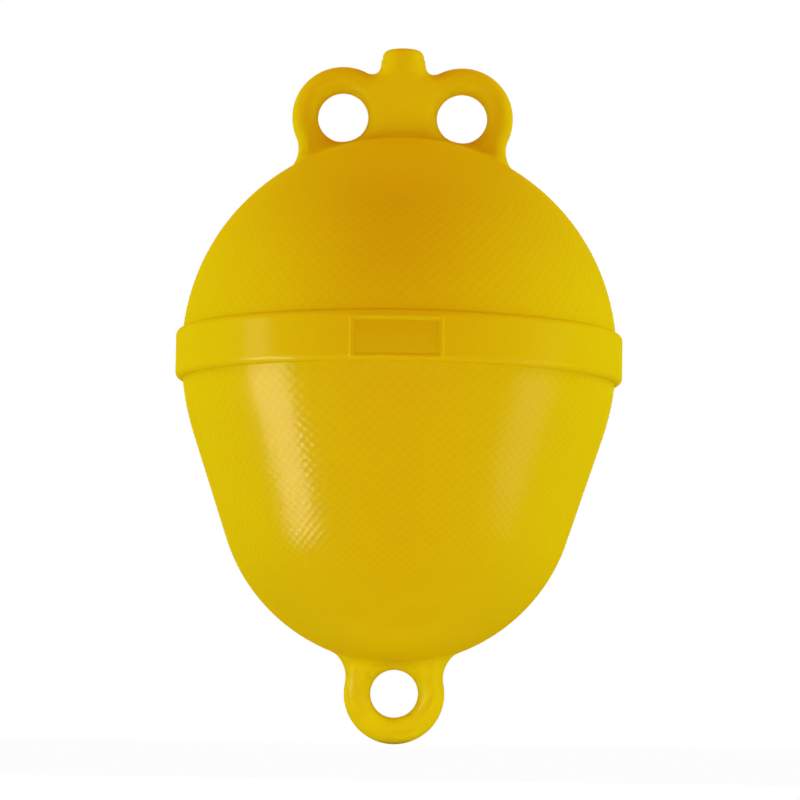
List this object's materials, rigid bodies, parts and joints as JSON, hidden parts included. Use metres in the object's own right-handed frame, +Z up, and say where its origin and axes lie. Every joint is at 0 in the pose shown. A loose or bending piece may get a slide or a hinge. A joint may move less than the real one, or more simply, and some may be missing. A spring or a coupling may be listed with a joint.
{
  "type": "pear-shaped mooring buoy",
  "caption": "Rigid pear-shaped mooring buoy with a grained skin, a smooth belt, a twin-eye lug with a plugged neck on top and a single-eye lug at the foot.",
  "frame": {"origin": "on the buoy's axis at the middle of the belt, at the water's surface", "axes": "+Z up along the buoy's axis, from the single eye to the twin eyes; the eyes look along Y and the marking panel faces -Y"},
  "size_m": [0.2508, 0.2514, 0.3914],
  "materials": {
    "grained_yellow": "satin polyethylene with a diagonal diamond grain",
    "smooth_yellow": "smooth satin polyethylene",
    "plate_yellow": "smooth satin polyethylene, bare"
  },
  "bodies": {
    "root": {"upper_shell": "grained_yellow", "lower_shell": "grained_yellow", "belt": "smooth_yellow", "marking_plate": "plate_yellow", "filler_plug": "smooth_yellow"}
  },
  "joints": []
}
